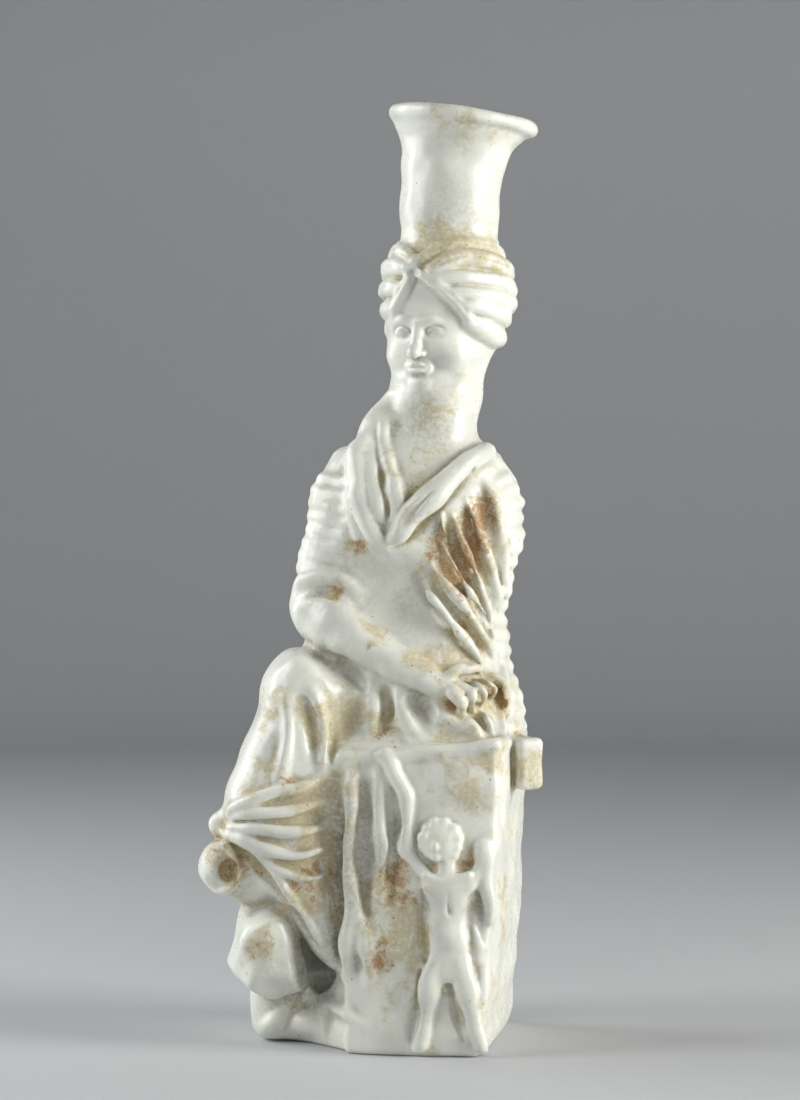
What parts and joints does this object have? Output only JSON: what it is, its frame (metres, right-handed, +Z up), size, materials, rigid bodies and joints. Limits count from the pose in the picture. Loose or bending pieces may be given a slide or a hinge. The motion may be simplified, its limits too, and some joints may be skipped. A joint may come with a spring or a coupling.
{
  "type": "figural flask",
  "caption": "Narrow glass flask shaped as a draped seated woman on a block seat, with a bottle neck and flared rim rising from her head.",
  "frame": {"origin": "middle of the underside, on the surface that the flask rests on", "axes": "+Z up along the flask towards the mouth, -Y towards the side with the face and the small figure, +X to the right of that side"},
  "size_m": [0.0615, 0.0456, 0.1673],
  "materials": {
    "white_glass": "opaque milk-white blown glass, glossy with fine weathering",
    "stained_glass": "the same opaque white glass with buff and olive staining",
    "rust_stained_glass": "the same opaque white glass with rust-brown deposits in the hollows"
  },
  "bodies": {
    "root": {"plinth": "white_glass", "seat_block": "white_glass", "lap": "white_glass", "bust": "white_glass", "throat": "white_glass", "head": "white_glass", "neck": "white_glass", "rim": "white_glass", "shin_drape": "stained_glass", "thigh": "stained_glass", "right_sleeve": "white_glass", "left_sleeve": "white_glass", "forearm": "white_glass", "hand": "rust_stained_glass", "hood_drape": "white_glass", "mantle_collar": "white_glass", "inner_fold": "stained_glass", "chest_fold_1": "rust_stained_glass", "chest_fold_2": "rust_stained_glass", "chest_fold_3": "rust_stained_glass", "chest_fold_4": "rust_stained_glass", "cloth_knob": "white_glass", "tension_fold_1": "stained_glass", "tension_fold_2": "stained_glass", "tension_fold_3": "stained_glass", "tension_fold_4": "stained_glass", "cloak_hem": "stained_glass", "foot": "rust_stained_glass", "foot_rock": "stained_glass", "hanging_fold_1": "white_glass", "hanging_fold_2": "white_glass", "hanging_fold_3": "white_glass", "corner_lug": "rust_stained_glass", "boy_relief": "stained_glass", "face": "white_glass", "left_locks": "white_glass", "right_locks": "white_glass"}
  },
  "joints": []
}
